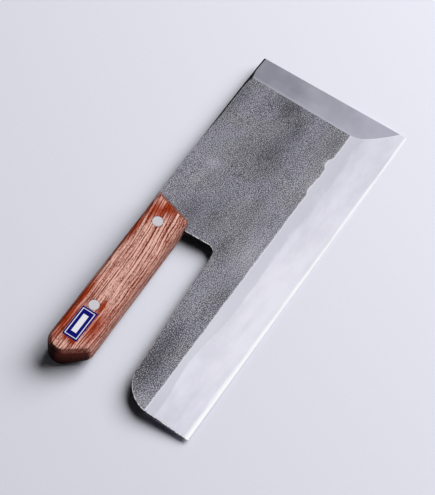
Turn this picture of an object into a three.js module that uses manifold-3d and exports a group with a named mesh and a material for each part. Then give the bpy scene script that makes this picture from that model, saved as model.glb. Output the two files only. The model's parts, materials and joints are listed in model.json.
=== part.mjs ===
// Soba knife: a broad noodle knife, ground on one side, with a riveted two-piece wooden handle.
// Millimetres. +X runs from heel to tip, +Y from cutting edge to spine, +Z up from the table.
// It lies bevel side up, resting on the tip corner of its edge and on the handle's lower side.
import * as THREE from 'three';
import { mergeVertices } from 'three/addons/utils/BufferGeometryUtils.js';
import Module from 'manifold-3d';

// Blade outline, seen from above
const edgeLength = 240;
const bladeHeight = 101.3;
const bladeThickness = 3;
const tipLean = 2.4;
const heelHeight = 46.6;
const heelRadius = 21;
const fingerGapLength = 108;
const throatHeight = 52.8;
const throatRadius = 5.5;
const choilLean = 1.2;

// Grinds on the bevel side
const bevelWidth = 29.2;
const edgeLand = 0.15;
const facetWidth = 19.8;
const tipLand = 0.6;
const spineGrindLength = 58;
const spineGrindWidth = 2;
const spineGrindDepth = 1.5;

// Hard steel forge-welded to the back, along the cutting edge
const steelThickness = 0.6;
const steelWidth = 38;

// Handle
const scaleThickness = 7;
const buttSwell = 1.3;
const handleLength = 120.6;
const handleInset = 1.5;
const handleFrontWidth = 24.6;
const handleRearWidth = 26.4;
const frontCover = 11.6;
const frontLean = 6.7;
const buttRadius = 9;
const buttSlant = THREE.MathUtils.degToRad(38);
const bellyCornerRadius = 4;
const handleChamfer = 2.3;

// Tang, hidden between the two scales
const tangWidth = 16;
const tangButtMargin = 21;
const tangRadius = 4;
const shoulderCover = 2;

// Cutlery rivets: a solid half pressed into a tubular half
const rivetHeadDiameter = 6.7;
const rivetHeadThickness = 1.6;
const rivetHeadProud = 0.15;
const rivetPinDiameter = 3.2;
const rivetTubeWall = 0.6;
const rivetRise = 1.7;
const frontRivetSetback = 18.5;
const rearRivetSetback = 36.2;

// Label film between the rear rivet and the butt
const labelWidth = 10.1;
const labelThickness = 0.2;
const labelButtMargin = 11.3;

// Clearances, and how far a cutting shape reaches past what it cuts
const fitGap = 0.3;
const bondGap = 0.1;
const cutReach = 6;
const arcSteps = 8;
const roundSides = 32;

// Places worked out from the sizes above
const handleFront = fingerGapLength + frontCover;
const handleButt = handleFront - handleLength;
const handleSpine = bladeHeight - handleInset;
const bellySlope = (handleRearWidth - handleFrontWidth) / (handleLength - frontLean);
const bevelScaleTop = bladeThickness + scaleThickness;
const frontRivetX = handleFront - frontRivetSetback;
const rearRivetX = handleButt + rearRivetSetback;
const tangMiddle = rivetRow(frontRivetX);
const tangRear = handleButt + tangButtMargin;
const shoulderX = handleFront - shoulderCover;
const rivetTubeDiameter = rivetPinDiameter + 2 * (fitGap + rivetTubeWall);
const rivetHeadRadius = rivetHeadDiameter / 2;
const rivetTop = bevelScaleTop + rivetHeadProud;

const wasm = await Module();
wasm.setup();

// Height of the handle's belly side above the cutting edge, at a distance along the knife
function bellyHeight(x) {
  return handleSpine - handleRearWidth + bellySlope * (x - handleButt);
}

// Depth of the back scale's face under the blade's back: it swells evenly from the front to the butt
function backDepth(x) {
  return scaleThickness + (buttSwell * (handleFront - x)) / handleLength;
}

// The rivets and the label follow the handle's middle line, a little nearer the spine
function rivetRow(x) {
  return (handleSpine + bellyHeight(x)) / 2 + rivetRise;
}

// A closed outline, anticlockwise, whose corners may be rounded by tangent arcs
function outline(corners) {
  const shape = new THREE.Shape();
  corners.forEach(([x, y, radius = 0], i) => {
    const corner = new THREE.Vector2(x, y);
    const [beforeX, beforeY] = corners.at(i - 1);
    const [afterX, afterY] = corners[(i + 1) % corners.length];
    const inward = corner.clone().sub(new THREE.Vector2(beforeX, beforeY)).normalize();
    const onward = new THREE.Vector2(afterX, afterY).sub(corner).normalize();
    const turn = Math.atan2(inward.cross(onward), inward.dot(onward));
    const side = Math.sign(turn);
    const start = corner.clone().addScaledVector(inward, -radius * Math.tan(Math.abs(turn) / 2));
    if (i === 0) shape.moveTo(start.x, start.y);
    else shape.lineTo(start.x, start.y);
    if (radius > 0) {
      const centre = start.clone().add(new THREE.Vector2(-inward.y, inward.x).multiplyScalar(side * radius));
      const from = Math.atan2(start.y - centre.y, start.x - centre.x);
      shape.absarc(centre.x, centre.y, radius, from, from + turn, turn < 0);
    }
  });
  return shape;
}

// Bodies for cutting and joining
function toSolid(geometry) {
  geometry.deleteAttribute('normal');
  geometry.deleteAttribute('uv');
  const merged = mergeVertices(geometry);
  const vertProperties = merged.attributes.position.array;
  const triVerts = Uint32Array.from(merged.index.array);
  return new wasm.Manifold(new wasm.Mesh({ numProp: 3, vertProperties, triVerts }));
}

function toGeometry(solid) {
  const { vertProperties, triVerts } = solid.getMesh();
  const geometry = new THREE.BufferGeometry();
  geometry.setAttribute('position', new THREE.BufferAttribute(vertProperties, 3));
  geometry.setIndex(new THREE.BufferAttribute(triVerts, 1));
  geometry.computeVertexNormals();
  return geometry;
}

// A flat plate of the given outline between two heights
function plate(shape, bottom, top) {
  const settings = { depth: top - bottom, bevelEnabled: false, curveSegments: arcSteps };
  return new THREE.ExtrudeGeometry(shape, settings).translate(0, 0, bottom);
}

function block(low, high) {
  const [width, depth, height] = high.map((value, i) => value - low[i]);
  const [x, y, z] = high.map((value, i) => (value + low[i]) / 2);
  return new THREE.BoxGeometry(width, depth, height).translate(x, y, z);
}

function upright(diameter, bottom, top, x, y) {
  const post = new THREE.CylinderGeometry(diameter / 2, diameter / 2, top - bottom, roundSides);
  return post.rotateX(Math.PI / 2).translate(x, y, (top + bottom) / 2);
}

// Blade and tang in one outline
function bladeOutline() {
  return outline([
    [0, 0],
    [edgeLength, 0],
    [edgeLength - tipLean, bladeHeight],
    [shoulderX, bladeHeight],
    [shoulderX, tangMiddle + tangWidth / 2],
    [tangRear, tangMiddle + tangWidth / 2, tangRadius],
    [tangRear, tangMiddle - tangWidth / 2, tangRadius],
    [fingerGapLength, tangMiddle - tangWidth / 2],
    [fingerGapLength + choilLean, throatHeight, throatRadius],
    [0, heelHeight, heelRadius],
  ]);
}

// What a grinding wheel takes off: everything above the plane through three points
function groundOff(first, second, third) {
  const points = [first, second, third].map((point) => new THREE.Vector3(...point));
  const { normal } = new THREE.Plane().setFromCoplanarPoints(...points);
  const turn = new THREE.Quaternion().setFromUnitVectors(new THREE.Vector3(0, 0, 1), normal);
  const size = 2 * (edgeLength + bladeHeight);
  const wheel = new THREE.BoxGeometry(size, size, size).translate(0, 0, size / 2);
  return toSolid(wheel.applyQuaternion(turn).translate(...points[0]));
}

// The long bevel, the facet that falls to the tip end, and the slanting grind on the spine
function grinds() {
  const facetLine = edgeLength - facetWidth;
  const bevel = groundOff(
    [0, 0, edgeLand],
    [edgeLength, 0, edgeLand],
    [0, bevelWidth, bladeThickness],
  );
  const facet = groundOff(
    [facetLine, 0, bladeThickness],
    [edgeLength, 0, tipLand],
    [facetLine, bladeHeight, bladeThickness],
  );
  const spine = groundOff(
    [facetLine - spineGrindLength, bladeHeight, bladeThickness],
    [facetLine, bladeHeight - spineGrindWidth, bladeThickness],
    [facetLine, bladeHeight, bladeThickness - spineGrindDepth],
  );
  return bevel.add(facet).add(spine);
}

// The strip along the back that the hard steel fills, grown by a gap
function steelStrip(gap) {
  const low = [-cutReach, -cutReach, -cutReach];
  return block(low, [edgeLength + cutReach, steelWidth + gap, steelThickness + gap]);
}

function rivetBores(bottom, top) {
  const across = rivetTubeDiameter + 2 * fitGap;
  const bores = [frontRivetX, rearRivetX].map((x) => toSolid(upright(across, bottom, top, x, rivetRow(x))));
  return bores[0].add(bores[1]);
}

function bladeBody() {
  return toSolid(plate(bladeOutline(), 0, bladeThickness))
    .subtract(grinds())
    .subtract(toSolid(steelStrip(bondGap)))
    .subtract(rivetBores(-cutReach, bladeThickness + cutReach));
}

function edgeSteel() {
  return toSolid(plate(bladeOutline(), 0, bladeThickness))
    .intersect(toSolid(steelStrip(0)))
    .subtract(grinds());
}

// Handle seen from above: slanted front, belly widening to the rear, butt rounded and cut back
function handleOutline() {
  const bellyFront = handleFront - frontLean;
  const tangent = new THREE.Vector2(
    handleButt + buttRadius * (1 - Math.cos(buttSlant)),
    handleSpine - buttRadius * (1 + Math.sin(buttSlant)),
  );
  const toSpine = (handleSpine - tangent.y) / Math.cos(buttSlant);
  const toBelly = (tangent.y - bellyHeight(tangent.x))
    / (Math.cos(buttSlant) + bellySlope * Math.sin(buttSlant));
  const bellyRear = tangent.x + toBelly * Math.sin(buttSlant);
  return outline([
    [tangent.x - toSpine * Math.sin(buttSlant), handleSpine, buttRadius],
    [bellyRear, bellyHeight(bellyRear), bellyCornerRadius],
    [bellyFront, bellyHeight(bellyFront)],
    [handleFront, handleSpine],
  ]);
}

// The whole handle as one block with its outer edges chamfered and its back swelling to the butt
function handleBlock() {
  const straight = bladeThickness + 2 * (scaleThickness - handleChamfer);
  const settings = {
    depth: straight,
    bevelSize: handleChamfer,
    bevelThickness: handleChamfer,
    bevelOffset: -handleChamfer,
    bevelSegments: 2,
    curveSegments: arcSteps,
  };
  const handle = new THREE.ExtrudeGeometry(handleOutline(), settings)
    .translate(0, 0, handleChamfer - scaleThickness);
  const points = handle.attributes.position;
  for (let i = 0; i < points.count; i += 1) {
    const swell = backDepth(points.getX(i)) - scaleThickness;
    if (points.getZ(i) < 0) points.setZ(i, points.getZ(i) - swell);
  }
  return handle;
}

// The recess that holds the tang, open at the front where the blade comes out
function tangRecess() {
  const upper = tangMiddle + tangWidth / 2 + fitGap;
  const lower = tangMiddle - tangWidth / 2 - fitGap;
  const front = handleFront + cutReach;
  const shape = outline([
    [tangRear - fitGap, lower, tangRadius + fitGap],
    [fingerGapLength - fitGap, lower],
    [fingerGapLength - fitGap, throatHeight],
    [front, throatHeight],
    [front, bladeHeight + cutReach],
    [shoulderX - fitGap, bladeHeight + cutReach],
    [shoulderX - fitGap, upper],
    [tangRear - fitGap, upper, tangRadius + fitGap],
  ]);
  return plate(shape, -fitGap, bladeThickness + fitGap);
}

// One scale: its half of the handle, less the tang's recess, the bores and the seats of the heads,
// where seat gives a seat's lowest and highest point at a rivet's place
function scale(bottom, top, seat) {
  const low = [handleButt - cutReach, throatHeight, bottom];
  const high = [handleFront + cutReach, bladeHeight + cutReach, top];
  const seatDiameter = rivetHeadDiameter + 2 * fitGap;
  let half = toSolid(handleBlock())
    .intersect(toSolid(block(low, high)))
    .subtract(toSolid(tangRecess()))
    .subtract(rivetBores(bottom - cutReach, top + cutReach));
  for (const x of [frontRivetX, rearRivetX]) {
    half = half.subtract(toSolid(upright(seatDiameter, ...seat(x), x, rivetRow(x))));
  }
  return half;
}

function bevelSideScale() {
  const seam = (bladeThickness + fitGap) / 2;
  const reach = bevelScaleTop + cutReach;
  return scale(seam, reach, () => [rivetTop - rivetHeadThickness - fitGap, reach]);
}

function backSideScale() {
  const seam = (bladeThickness - fitGap) / 2;
  const reach = -backDepth(handleButt) - cutReach;
  return scale(reach, seam, (x) => [reach, rivetBottom(x) + rivetHeadThickness + fitGap]);
}

// Rivet halves are turned profiles, from the middle out, as [radius, height] pairs
function turned(profile, x) {
  const points = profile.map(([radius, height]) => new THREE.Vector2(radius, height));
  return new THREE.LatheGeometry(points, roundSides).rotateX(Math.PI / 2).translate(x, rivetRow(x), 0);
}

function rivetBottom(x) {
  return -backDepth(x) - rivetHeadProud;
}

function solidRivetHalf(x) {
  const underHead = rivetTop - rivetHeadThickness;
  const pinEnd = rivetBottom(x) + rivetHeadThickness + fitGap;
  const pinRadius = rivetPinDiameter / 2;
  return turned([
    [0, pinEnd],
    [pinRadius, pinEnd],
    [pinRadius, underHead],
    [rivetHeadRadius, underHead],
    [rivetHeadRadius, rivetTop],
    [0, rivetTop],
  ], x);
}

function tubeRivetHalf(x) {
  const bottom = rivetBottom(x);
  const overHead = bottom + rivetHeadThickness;
  const tubeEnd = rivetTop - rivetHeadThickness - fitGap;
  const boreRadius = rivetPinDiameter / 2 + fitGap;
  return turned([
    [0, bottom],
    [rivetHeadRadius, bottom],
    [rivetHeadRadius, overHead],
    [rivetTubeDiameter / 2, overHead],
    [rivetTubeDiameter / 2, tubeEnd],
    [boreRadius, tubeEnd],
    [boreRadius, overHead],
    [0, overHead],
  ], x);
}

function label() {
  const front = rearRivetX - rivetHeadRadius - fitGap;
  const rear = handleButt + labelButtMargin;
  const middle = rivetRow((front + rear) / 2);
  const bottom = bevelScaleTop + bondGap;
  const low = [rear, middle - labelWidth / 2, bottom];
  return block(low, [front, middle + labelWidth / 2, bottom + labelThickness]);
}

// Finishes
const forgedIron = { color: 0x74747a, metalness: 0.85, roughness: 0.6 };
const groundSteel = { color: 0xdcdce4, metalness: 1, roughness: 0.3 };
const redOak = { color: 0xbb8468, metalness: 0, roughness: 0.65 };
const rivetMetal = { color: 0xdedcd6, metalness: 1, roughness: 0.35 };
const blueFilm = { color: 0x1b1d70, metalness: 0, roughness: 0.4 };

const knife = new THREE.Group();

function add(name, geometry, finish) {
  const mesh = new THREE.Mesh(geometry, new THREE.MeshStandardMaterial(finish));
  mesh.name = name;
  knife.add(mesh);
}

add('blade_body', toGeometry(bladeBody()), forgedIron);
add('edge_steel', toGeometry(edgeSteel()), groundSteel);
add('bevel_side_scale', toGeometry(bevelSideScale()), redOak);
add('back_side_scale', toGeometry(backSideScale()), redOak);
add('front_rivet_solid_half', solidRivetHalf(frontRivetX), rivetMetal);
add('front_rivet_tube_half', tubeRivetHalf(frontRivetX), rivetMetal);
add('rear_rivet_solid_half', solidRivetHalf(rearRivetX), rivetMetal);
add('rear_rivet_tube_half', tubeRivetHalf(rearRivetX), rivetMetal);
add('label', label(), blueFilm);

// The knife tips until the handle's lower belly edge and the tip corner of the edge lie on the table
function bellyRest(x) {
  return new THREE.Vector3(x, bellyHeight(x) + handleChamfer, -backDepth(x));
}

const tipCorner = new THREE.Vector3(edgeLength, 0, 0);
const table = new THREE.Plane().setFromCoplanarPoints(tipCorner, bellyRest(handleFront), bellyRest(handleButt));
knife.quaternion.setFromUnitVectors(table.normal, new THREE.Vector3(0, 0, 1));

// The origin is under the middle of the knife, on the table
const box = new THREE.Box3().setFromObject(knife, true);
const middle = box.getCenter(new THREE.Vector3());
knife.position.set(-middle.x, -middle.y, -box.min.z);

const sobaKnife = new THREE.Group();
sobaKnife.add(knife);

export default sobaKnife;
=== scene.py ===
# Soba knife: the finish of every surface, laid over the knife's solids in their own frame.
import json
import math

import bpy
import numpy as np
from bpy.props import FloatProperty, FloatVectorProperty, PointerProperty
from mathutils import Matrix, Vector
from mathutils.geometry import tessellate_polygon


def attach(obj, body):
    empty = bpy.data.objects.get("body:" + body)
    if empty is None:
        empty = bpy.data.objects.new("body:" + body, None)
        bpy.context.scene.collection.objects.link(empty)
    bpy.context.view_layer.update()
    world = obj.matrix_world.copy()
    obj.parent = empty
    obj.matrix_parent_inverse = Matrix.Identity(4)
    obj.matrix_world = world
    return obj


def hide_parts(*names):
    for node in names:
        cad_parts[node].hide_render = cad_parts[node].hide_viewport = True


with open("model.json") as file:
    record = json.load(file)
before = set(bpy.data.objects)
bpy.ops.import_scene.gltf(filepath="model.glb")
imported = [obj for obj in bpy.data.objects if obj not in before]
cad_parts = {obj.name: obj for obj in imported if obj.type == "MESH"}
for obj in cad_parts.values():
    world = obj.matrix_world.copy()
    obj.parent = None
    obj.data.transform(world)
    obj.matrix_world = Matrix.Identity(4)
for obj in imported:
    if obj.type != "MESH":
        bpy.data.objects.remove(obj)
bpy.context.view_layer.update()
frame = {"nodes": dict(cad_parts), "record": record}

bl_info = {
    "name": "Soba Knife",
    "version": (1, 0, 0),
    "blender": (4, 5, 0),
    "location": "View3D > Sidebar > Soba Knife",
    "description": "Builds a soba knife with a pear-skin blade and a riveted red oak handle",
    "category": "Add Mesh",
}

MM = 0.001
BODY = "root"

# The knife lies tipped on the table. Its flat frame has x from heel to tip along the cutting edge,
# y from the edge to the spine and z off the blade's back; the back's mount axis gives the tip of it.
BACK_AXIS = next(m["axis"] for m in frame["record"]["mounts"] if m["name"] == "blade_back")
TURN = np.array(Vector((0, 0, -1)).rotation_difference(Vector(BACK_AXIS)).to_matrix())


def corners_of(node):
    """A solid's corner points, turned back out of the tip."""
    vertices = frame["nodes"][node].data.vertices
    corners = np.empty(3 * len(vertices), np.float32)
    vertices.foreach_get("co", corners)
    return corners.reshape(-1, 3) @ TURN


HEEL = corners_of("edge_steel").min(0)


def to_row(flat):
    """Points of the flat frame moved to the heel's corner and tipped."""
    return (flat + HEEL) @ TURN.T


def flat_box(node):
    """Lowest and highest corner of a solid in the flat frame."""
    flat = corners_of(node) - HEEL
    return flat.min(0), flat.max(0)


STEEL_LOW, STEEL_HIGH = flat_box("edge_steel")
IRON_HIGH = flat_box("blade_body")[1]
SCALE_LOW, SCALE_HIGH = flat_box("bevel_side_scale")
LABEL_LOW, LABEL_HIGH = flat_box("label")
RIVET_PLACES = ("front", "rear")
RIVET_BOXES = {place: flat_box(f"{place}_rivet_solid_half") for place in RIVET_PLACES}
TUBE_BOXES = {place: flat_box(f"{place}_rivet_tube_half") for place in RIVET_PLACES}


def colour(code):
    """An sRGB hex colour as linear red, green, blue and alpha."""
    srgb = np.array([int(code[i:i + 2], 16) for i in (1, 3, 5)]) / 255
    linear = np.where(srgb <= 0.04045, srgb / 12.92, ((srgb + 0.055) / 1.055) ** 2.4)
    return (*linear.tolist(), 1.0)


def size_property(name, description, metres):
    """A length."""
    return FloatProperty(
        name=name, description=description, default=float(metres), unit="LENGTH", precision=5
    )


def angle_property(name, description, degrees):
    """An angle, given in degrees."""
    return FloatProperty(
        name=name, description=description, default=math.radians(degrees), subtype="ANGLE"
    )


def number_property(name, description, value):
    """A plain number."""
    return FloatProperty(name=name, description=description, default=value)


def colour_property(name, description, code):
    """A colour, given as an sRGB hex code."""
    return FloatVectorProperty(
        name=name, description=description, default=colour(code), size=4, min=0, max=1, subtype="COLOR"
    )


class BladeSizes(bpy.types.PropertyGroup):
    """Sizes of the blade"""

    edge_length: size_property("Edge length", "Cutting edge from heel to tip", STEEL_HIGH[0])
    height: size_property("Height", "Cutting edge to spine", IRON_HIGH[1])
    thickness: size_property("Thickness", "Flat part of the blade", IRON_HIGH[2])
    tip_lean: size_property("Tip lean", "How far the tip end leans back at the spine", 2.4 * MM)
    heel_height: size_property("Heel height", "Inner edge above the cutting edge at the heel", 46.6 * MM)
    heel_radius: size_property("Heel radius", "Rounded corner of the heel", 21 * MM)
    gap_length: size_property("Finger gap", "Length of the finger gap under the handle", 108 * MM)
    throat_height: size_property("Throat height", "The same at the throat", 52.8 * MM)
    throat_radius: size_property("Throat radius", "Rounded inner corner of the finger gap", 5.5 * MM)
    choil_lean: size_property("Choil lean", "How far the front of the finger gap leans", 1.2 * MM)
    bevel_width: size_property("Bevel width", "Ground bevel, from the edge to its ridge", 29.2 * MM)
    edge_land: size_property("Edge land", "Thickness left at the cutting edge", 0.1 * MM)
    facet_width: size_property("Facet width", "Ground facet at the tip end", 19.8 * MM)
    facet_end: size_property("Facet end", "Thickness left at the tip end", 0.6 * MM)
    grind_length: size_property("Spine grind length", "Slanting grind on the spine", 58 * MM)
    grind_width: size_property("Spine grind width", "Widest part of the grind on the spine", 2.3 * MM)
    grind_depth: size_property("Spine grind depth", "Deepest part of the grind on the spine", 1.5 * MM)
    spine_break: size_property("Spine break", "Broken edge along the rest of the spine's grind", 1.0 * MM)
    arris_width: size_property("Arris width", "Ground line round the heel and the finger gap", 0.36 * MM)
    arris_depth: size_property("Arris depth", "How deep that line is ground", 0.28 * MM)
    tang_rear: size_property("Tang end", "Rear end of the tang, from the heel", SCALE_LOW[0] + 21 * MM)
    tang_width: size_property("Tang width", "Width of the tang between the scales", 16 * MM)
    tang_radius: size_property("Tang radius", "Rounded rear corners of the tang", 4 * MM)
    shoulder: size_property("Shoulder", "Where the spine starts inside the handle", SCALE_HIGH[0] - 2 * MM)
    steel_width: size_property("Steel width", "Hard steel on the back, from the edge up", STEEL_HIGH[1])
    steel_thickness: size_property("Steel thickness", "Hard steel under the soft iron", STEEL_HIGH[2])


class HandleSizes(bpy.types.PropertyGroup):
    """Sizes of the handle, its rivets and its label"""

    front_width: size_property("Front width", "Width of the handle beside the blade", 24.6 * MM)
    rear_width: size_property("Rear width", "Width of the handle at the butt", 26.4 * MM)
    front_lean: size_property("Front lean", "How far the front end slants", 6.7 * MM)
    butt_radius: size_property("Butt radius", "Rounded corner at the butt, spine side", 9 * MM)
    butt_slant: angle_property("Butt slant", "Slant of the butt end", 38)
    belly_radius: size_property("Belly radius", "Rounded corner at the butt, belly side", 4 * MM)
    corner_ease: size_property("Corner ease", "How much that corner is worn away from below", 5 * MM)
    ease_reach: size_property("Ease reach", "How far round the corner the wear reaches", 12 * MM)
    front_radius: size_property("Front radius", "Softened corners at the front end", 0.6 * MM)
    chamfer: size_property("Chamfer", "Chamfer round the outer faces", 2.3 * MM)
    wall: size_property("Wall", "Wood left round the tang's recess", 3.2 * MM)
    seat_gap: size_property("Seat gap", "Clearance round a rivet head", 0.12 * MM)
    rivet_dome: size_property("Rivet dome", "Crown on a rivet head", 0.1 * MM)
    rivet_rim: size_property("Rivet rim", "Rounding on a rivet head's rim", 0.3 * MM)
    rivet_pin: size_property("Rivet pin", "Diameter of the solid half's pin", 3.2 * MM)
    rivet_fit: size_property("Rivet fit", "Clearance of the pin in the tube", 0.3 * MM)
    label_radius: size_property("Label radius", "Rounded corners of the label", 0.7 * MM)
    label_film: size_property("Label film", "Thickness of the label film", 0.16 * MM)


class FinishColours(bpy.types.PropertyGroup):
    """Colours of the finishes"""

    iron_light: colour_property("Iron, light", "Light grains of the pear-skin iron", "#b3b2bf")
    iron_warm: colour_property("Iron, warm", "Light grains where the skin has a warm tint", "#b4b3ba")
    iron_dark: colour_property("Iron, dark", "Dark grains of the pear-skin iron", "#49484f")
    bevel: colour_property("Bevel", "Ground iron of the bevel", "#e0dfeb")
    bevel_band: colour_property("Bevel band", "Greyer band below the ridge", "#c8c8d4")
    edge: colour_property("Edge", "Polished steel at the cutting edge", "#fcfcff")
    facet: colour_property("Facet", "Satin facet at the tip, near the edge", "#b0afbd")
    facet_spine: colour_property("Facet, spine", "Satin facet at the tip, near the spine", "#8d8d99")
    scale_black: colour_property("Forge scale", "Black scale left on the spine and the back", "#0a0a0c")
    wood: colour_property("Wood", "Red oak between the pores", "#eabaac")
    wood_dark: colour_property("Wood, pores", "Pores of the red oak", "#6e240a")
    wood_red: colour_property("Wood, heart", "Ruddy patches of the red oak", "#a83c1e")
    wood_front: colour_property("Wood, front end", "End grain beside the blade", "#5c3c34")
    wood_butt: colour_property("Wood, butt", "Oiled end grain of the butt, bevel side", "#703024")
    # Painted shade: near black, for the butt's end grain toward its bottom and its spine side
    wood_butt_shaded: colour_property("Wood, butt's back", "Oiled end grain of the butt, back side", "#120200")
    rivet: colour_property("Rivet", "Satin aluminium rivets", "#c6c2c6")
    film: colour_property("Label film", "Navy label film", "#0c0e6a")
    print: colour_property("Label print", "Blank fields on the label", "#e9e9ef")
    floor: colour_property("Floor", "Pale floor", "#e3e3ee")


class StageSettings(bpy.types.PropertyGroup):
    """Camera and light"""

    look_at: FloatVectorProperty(
        name="Look at",
        description="Point in the middle of the picture",
        default=(-7.644 * MM, 2.720 * MM, 4.9 * MM),
        subtype="TRANSLATION",
    )
    azimuth: angle_property("Azimuth", "Camera's turn round the knife, from looking along +Y", -56.76)
    elevation: angle_property("Elevation", "Camera's height above the table", 61.146)
    distance: size_property("Distance", "Camera to the point it looks at", 1293.331 * MM)
    lens: number_property("Lens", "Focal length in millimetres", 160)
    key_azimuth: angle_property("Key azimuth", "Softbox's turn from +X", -29)
    key_elevation: angle_property("Key elevation", "Softbox's height", 46)
    key_distance: size_property("Key distance", "Softbox to the knife", 2.2)
    key_size: size_property("Key size", "Side of the softbox", 1.9)
    key_power: number_property("Key power", "Softbox's power in watts", 77.5)
    tent: number_property("Tent", "How bright metal and the camera see the light tent", 1.0)
    dim: number_property("Tent, dim side", "The same on the tent's dim side", 0.5)
    fill: number_property("Fill", "Light of the tent's top on matt surfaces", 0.015)


# Meshes

# Plan points closer than this are one, and no rounded corner is tighter than this
WELD_REACH = 1e-7
LEAST_RADIUS = 0.25 * MM


def piece(name, flat, faces, materials, face_materials, crease, replaces):
    """A mesh object from points of the flat frame, smooth but for edges sharper than the crease."""
    mesh = bpy.data.meshes.new(name)
    mesh.from_pydata(to_row(flat).tolist(), [], faces)
    for made in materials:
        mesh.materials.append(made)
    mesh.polygons.foreach_set("material_index", np.asarray(face_materials, np.int32))
    mesh.shade_smooth()
    mesh.set_sharp_from_angle(angle=crease)
    mesh.update()
    made = bpy.data.objects.new(name, mesh)
    bpy.context.scene.collection.objects.link(made)
    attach(made, BODY)
    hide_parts(*replaces)
    return made


def grid_quads(rows, columns):
    """Quads of a grid stored row by row, anticlockwise when rows go up and columns right."""
    corner = np.arange(rows * columns).reshape(rows, columns)
    quads = [corner[:-1, :-1], corner[:-1, 1:], corner[1:, 1:], corner[1:, :-1]]
    return np.stack(quads, -1).reshape(-1, 4)


def strips(lines, counts):
    """Rows between guide lines: each pair of neighbours is divided evenly into its count of steps."""
    rows = [lines[0][None]]
    for low, high, count in zip(lines, lines[1:], counts):
        share = np.linspace(0, 1, count + 1)[1:, None]
        rows.append(low + (high - low) * share)
    return np.concatenate(rows)


def weld(grids):
    """Grids of (x, y, top, bottom) joined where their plan points coincide: points and quads."""
    points = np.concatenate([grid.reshape(-1, 4) for grid in grids])
    starts = np.cumsum([0] + [grid.shape[0] * grid.shape[1] for grid in grids])
    quads = np.concatenate([grid_quads(*grid.shape[:2]) + start for grid, start in zip(grids, starts)])
    places = np.round(points[:, :2] / WELD_REACH).astype(np.int64)
    _, first, index = np.unique(places, axis=0, return_index=True, return_inverse=True)
    return points[first], index.reshape(-1)[quads]


def slab(points, quads):
    """A closed plate: the plan grid at its top heights, again at its bottom heights turned over, and a wall
    under every edge that belongs to one quad only. Returns points, faces and the border's edges."""
    count = len(points)
    edges = np.concatenate([quads[:, [i, (i + 1) % 4]] for i in range(4)])
    _, index, uses = np.unique(np.sort(edges, 1), axis=0, return_inverse=True, return_counts=True)
    border = edges[uses[index.reshape(-1)] == 1]
    walls = np.column_stack([border + count, border[:, ::-1]])
    faces = np.concatenate([quads, quads[:, ::-1] + count, walls])
    flat = np.concatenate([points[:, [0, 1, 2]], points[:, [0, 1, 3]]])
    return flat, faces, border


def loft(rings):
    """Side quads between closed rings of equally many points, given as an array (ring, point, xyz)."""
    count = rings.shape[1]
    here = np.arange(count)
    after = (here + 1) % count
    first = np.stack([here, after, after + count, here + count], -1)
    return (first[None] + count * np.arange(rings.shape[0] - 1)[:, None, None]).reshape(-1, 4)


def rounded_outline(corners, radii, inset, steps):
    """An anticlockwise outline moved inwards by the inset. Its sides are shifted lines, its corners where
    neighbouring lines meet, each rounded by a tangent arc of its radius less the inset."""
    corners = np.asarray(corners, float)
    along = np.roll(corners, -1, 0) - corners
    along /= np.linalg.norm(along, axis=1, keepdims=True)
    inward = np.column_stack([-along[:, 1], along[:, 0]])
    offset = np.sum(corners * inward, 1) + inset
    before = np.roll(inward, 1, 0)
    offsets = np.stack([np.roll(offset, 1), offset], 1)
    meeting = np.linalg.solve(np.stack([before, inward], 1), offsets[..., None])
    arrival = np.roll(along, 1, 0)
    turn = np.arctan2(
        arrival[:, 0] * along[:, 1] - arrival[:, 1] * along[:, 0], np.sum(arrival * along, 1)
    )
    radius = np.maximum(np.asarray(radii) - inset, LEAST_RADIUS)
    start = meeting[..., 0] - arrival * (radius * np.tan(turn / 2))[:, None]
    centre = start + before * radius[:, None]
    first = np.arctan2(-before[:, 1], -before[:, 0])
    angle = first[:, None] + turn[:, None] * np.linspace(0, 1, steps)
    arc = np.stack([np.cos(angle), np.sin(angle)], -1) * radius[:, None, None]
    return (centre[:, None] + arc).reshape(-1, 2)


def ring(centre, radius, height, steps):
    """A level circle of points."""
    angle = np.linspace(0, 2 * np.pi, steps, endpoint=False)
    return np.column_stack([
        centre[0] + radius * np.cos(angle), centre[1] + radius * np.sin(angle), np.full(steps, height)
    ])


def holed_face(outer, holes, up):
    """Triangles of a level face with holes, facing up or down; indices follow outer and then each hole."""
    loops = [outer, *holes]
    triangles = np.array(tessellate_polygon([list(map(Vector, loop.tolist())) for loop in loops]))
    corner = np.concatenate(loops)[triangles]
    first = corner[:, 1] - corner[:, 0]
    second = corner[:, 2] - corner[:, 0]
    upward = first[:, 0] * second[:, 1] - first[:, 1] * second[:, 0] > 0
    triangles[upward != up] = triangles[upward != up][:, ::-1]
    return triangles


# Blade

# Stations along the blade, and steps between the guide lines across it
HEEL_STEPS = 34
INNER_STEPS = 110
THROAT_STEPS = 36
FLAT_STEPS = 200
FACET_STEPS = 26
IRON_COUNTS = (24, 8, 1, 16, 1)
STEEL_COUNTS = (10, 12, 6)
TANG_ROWS = 18
TANG_COLUMNS = 40
UPPER_COUNTS = (28, TANG_ROWS, 2, 4, 3)

# How far the heel's arc starts above the ridge, how far above the tang its root steps out to the shoulder,
# the least cover over the hard steel, a fine step, and the angle from which an edge of the blade is sharp
HEEL_STEP = 0.3 * MM
ROOT_STEP = 1.0 * MM
SKIN = 0.02 * MM
STEP = 0.05 * MM
CREASE = math.radians(4)

# Finishes of the soft iron, in the order of its materials
PEAR_SKIN, BEVEL, FACET, FORGE, ARRIS = range(5)

# The ridge between bevel and pear-skin: it falls slowly to the tip, wavers (size, length and phase), and has
# worn nicks (place, half length and rise, in millimetres)
RIDGE_START = 0.5 * MM
RIDGE_FALL = 0.006
RIDGE_WAVES = ((0.10, 37, 0.6), (0.08, 13.7, 2.1), (0.07, 5.3, 4.0), (0.05, 2.9, 1.2))
RIDGE_NICKS = ((174.5, 3.0, 1.1), (180.5, 3.2, 0.6), (196, 3.6, 1.9))

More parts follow.
